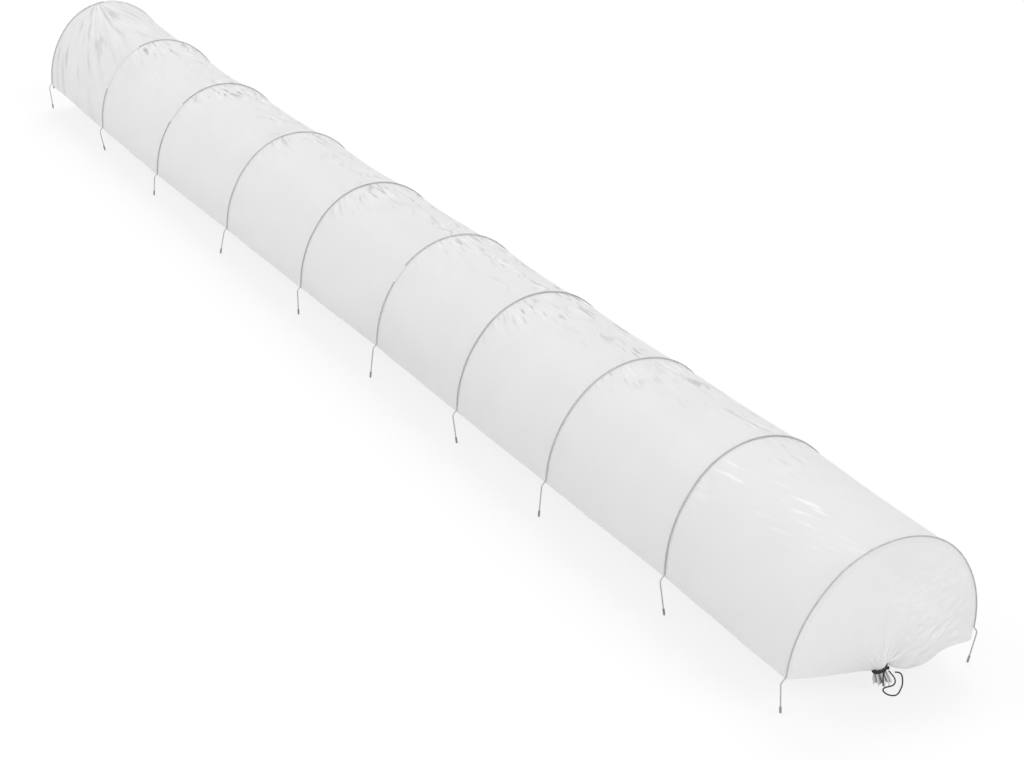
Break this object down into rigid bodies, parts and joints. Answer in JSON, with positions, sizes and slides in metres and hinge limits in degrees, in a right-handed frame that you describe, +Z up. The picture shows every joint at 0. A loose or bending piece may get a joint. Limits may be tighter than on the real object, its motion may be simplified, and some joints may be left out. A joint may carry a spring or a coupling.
{
  "type": "low grow tunnel cloche",
  "caption": "Long low grow tunnel: arched wire hoops with spike legs carry a translucent film cover, gathered and tied shut with cord at both ends.",
  "frame": {"origin": "on the ground, under the middle of the whole tunnel", "axes": "+X to the right seen from the front end, +Y along the tunnel to the rear end, +Z up"},
  "size_m": [0.498, 4.8775, 0.3706],
  "materials": {
    "galvanised_wire": "drawn steel wire with a dull zinc coat",
    "leg_cap": "moulded grey plastic",
    "cover_film": "hazy translucent polythene film with a soft gloss",
    "pocket_film": "clearer polythene film welded over the wire",
    "draw_cord": "black braided cord"
  },
  "bodies": {
    "root": {"hoop_1": "galvanised_wire", "hoop_2": "galvanised_wire", "hoop_3": "galvanised_wire", "hoop_4": "galvanised_wire", "hoop_5": "galvanised_wire", "hoop_6": "galvanised_wire", "hoop_7": "galvanised_wire", "hoop_8": "galvanised_wire", "hoop_9": "galvanised_wire", "hoop_10": "galvanised_wire", "hoop_pocket_1": "pocket_film", "hoop_pocket_2": "pocket_film", "hoop_pocket_3": "pocket_film", "hoop_pocket_4": "pocket_film", "hoop_pocket_5": "pocket_film", "hoop_pocket_6": "pocket_film", "hoop_pocket_7": "pocket_film", "hoop_pocket_8": "pocket_film", "hoop_pocket_9": "pocket_film", "hoop_pocket_10": "pocket_film", "cover_bay_1": "cover_film", "cover_bay_2": "cover_film", "cover_bay_3": "cover_film", "cover_bay_4": "cover_film", "cover_bay_5": "cover_film", "cover_bay_6": "cover_film", "cover_bay_7": "cover_film", "cover_bay_8": "cover_film", "cover_bay_9": "cover_film", "left_leg_caps": "leg_cap", "right_leg_caps": "leg_cap", "front_end_film": "cover_film", "rear_end_film": "cover_film", "front_gather_frill": "cover_film", "rear_gather_frill": "cover_film", "front_cord_tie": "draw_cord", "rear_cord_tie": "draw_cord", "front_cord_tail": "draw_cord"}
  },
  "joints": []
}
